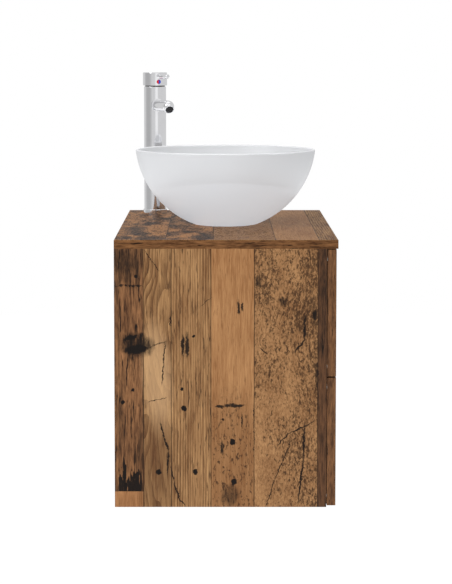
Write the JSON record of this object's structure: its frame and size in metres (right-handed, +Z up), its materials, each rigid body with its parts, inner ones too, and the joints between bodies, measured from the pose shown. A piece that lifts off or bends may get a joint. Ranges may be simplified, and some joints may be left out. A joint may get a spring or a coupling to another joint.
{
  "type": "vessel sink on vanity",
  "caption": "Wall-hung bathroom vanity with two stacked drawers, a round vessel basin on its top and a tall single-lever mixer tap behind it.",
  "frame": {"origin": "under the middle of the cabinet, at the level of the underside of the side panels", "axes": "+Z up, -Y out of the drawer fronts, +Y to the wall, +X to the right seen from the front, the end where the tap stands"},
  "size_m": [0.6, 0.385, 0.7445],
  "materials": {
    "reclaimed_wood_decor": "matt old-plank decor board",
    "drawer_board": "matt melamine board",
    "beech_dowel": "bare",
    "zinc_fittings": "zinc plated",
    "runner_steel": "zinc-plated sheet",
    "clear_rubber": "soft",
    "grey_moulded_plastic": "satin",
    "white_ceramic": "matt white glaze",
    "disc_ceramic": "ground",
    "chrome_tap": "polished chrome",
    "chrome_waste": "polished chrome",
    "brass": "machined",
    "steel": "turned",
    "black_rubber": "soft",
    "white_trap_plastic": "moulded",
    "cartridge_plastic": "moulded",
    "riser_tube": "extruded",
    "aerator_plastic": "moulded",
    "hot_red": "gloss",
    "cold_blue": "gloss"
  },
  "bodies": {
    "cabinet": {"aerator": "aerator_plastic", "back_rails": "reclaimed_wood_decor", "basin": "white_ceramic", "bottom_panel": "reclaimed_wood_decor", "bumpers": "clear_rubber", "cam_lock_bolts": "zinc_fittings", "cam_locks": "zinc_fittings", "cartridge_housing": "cartridge_plastic", "cartridge_nut": "brass", "click_cartridge": "cartridge_plastic", "countertop": "reclaimed_wood_decor", "dowels": "beech_dowel", "fixed_ceramic_disc": "disc_ceramic", "nozzle": "chrome_tap", "runner_outer_rails": "runner_steel", "side_panel_left": "reclaimed_wood_decor", "side_panel_right": "reclaimed_wood_decor", "spout_seal": "chrome_tap", "spout_tube": "chrome_tap", "tap_base_ring": "chrome_tap", "tap_body": "chrome_tap", "tap_clamp_nut": "brass", "tap_clamp_washer": "steel", "tap_risers": "riser_tube", "tap_seals": "black_rubber", "tap_stud": "steel", "trap_body": "white_trap_plastic", "trap_cup": "white_trap_plastic", "trap_inlet_pipe": "white_trap_plastic", "trap_nuts": "white_trap_plastic", "trap_outlet_pipe": "white_trap_plastic", "wall_plates": "zinc_fittings", "waste_backnut": "brass", "waste_body": "chrome_waste", "waste_seals": "black_rubber"},
    "lower_drawer": {"lower_drawer_front": "reclaimed_wood_decor", "lower_drawer_sides": "drawer_board", "lower_drawer_fittings": "zinc_fittings", "lower_drawer_base": "drawer_board", "lower_drawer_back": "drawer_board", "lower_runner_inner_rails": "runner_steel"},
    "upper_drawer": {"upper_drawer_front": "reclaimed_wood_decor", "upper_drawer_sides": "drawer_board", "upper_drawer_fittings": "zinc_fittings", "upper_drawer_base": "drawer_board", "upper_drawer_trap_guard": "grey_moulded_plastic", "upper_drawer_backs": "drawer_board", "upper_runner_inner_rails": "runner_steel"},
    "upper_runner": {"upper_runner_middle_rails": "runner_steel"},
    "lower_runner": {"lower_runner_middle_rails": "runner_steel"},
    "mixer_rotor": {"moving_ceramic_disc": "disc_ceramic", "cartridge_rotor": "cartridge_plastic", "lever_pivot_pin": "steel"},
    "mixer_handle": {"cartridge_stem": "cartridge_plastic", "handle_cap": "chrome_tap", "handle_lever": "chrome_tap", "hot_mark": "hot_red", "cold_mark": "cold_blue"},
    "plug": {"waste_plug": "chrome_waste", "plug_seal": "black_rubber"}
  },
  "joints": [
    {"name": "upper_drawer_slide", "type": "slide", "parent": "cabinet", "child": "upper_drawer", "axis": [0, -1, 0], "range_m": [0, 0.3]},
    {"name": "upper_runner_slide", "type": "slide", "parent": "cabinet", "child": "upper_runner", "axis": [0, -1, 0], "range_m": [0, 0.15]},
    {"name": "lower_drawer_slide", "type": "slide", "parent": "cabinet", "child": "lower_drawer", "axis": [0, -1, 0], "range_m": [0, 0.3]},
    {"name": "lower_runner_slide", "type": "slide", "parent": "cabinet", "child": "lower_runner", "axis": [0, -1, 0], "range_m": [0, 0.15]},
    {"name": "handle_turn", "type": "hinge", "parent": "cabinet", "child": "mixer_rotor", "pos_m": [0.215, 0.138, 0.719], "axis": [0, 0, 1], "range_deg": [-45, 45]},
    {"name": "handle_lift", "type": "hinge", "parent": "mixer_rotor", "child": "mixer_handle", "pos_m": [0.215, 0.138, 0.719], "axis": [-0.342, 0.9397, 0], "range_deg": [0, 20]},
    {"name": "plug_lift", "type": "slide", "parent": "cabinet", "child": "plug", "axis": [0, 0, 1], "range_m": [0, 0.008]}
  ],
  "couplings": [
    {"joint": "upper_runner_slide", "follows": "upper_drawer_slide", "ratio": 0.5},
    {"joint": "lower_runner_slide", "follows": "lower_drawer_slide", "ratio": 0.5}
  ]
}
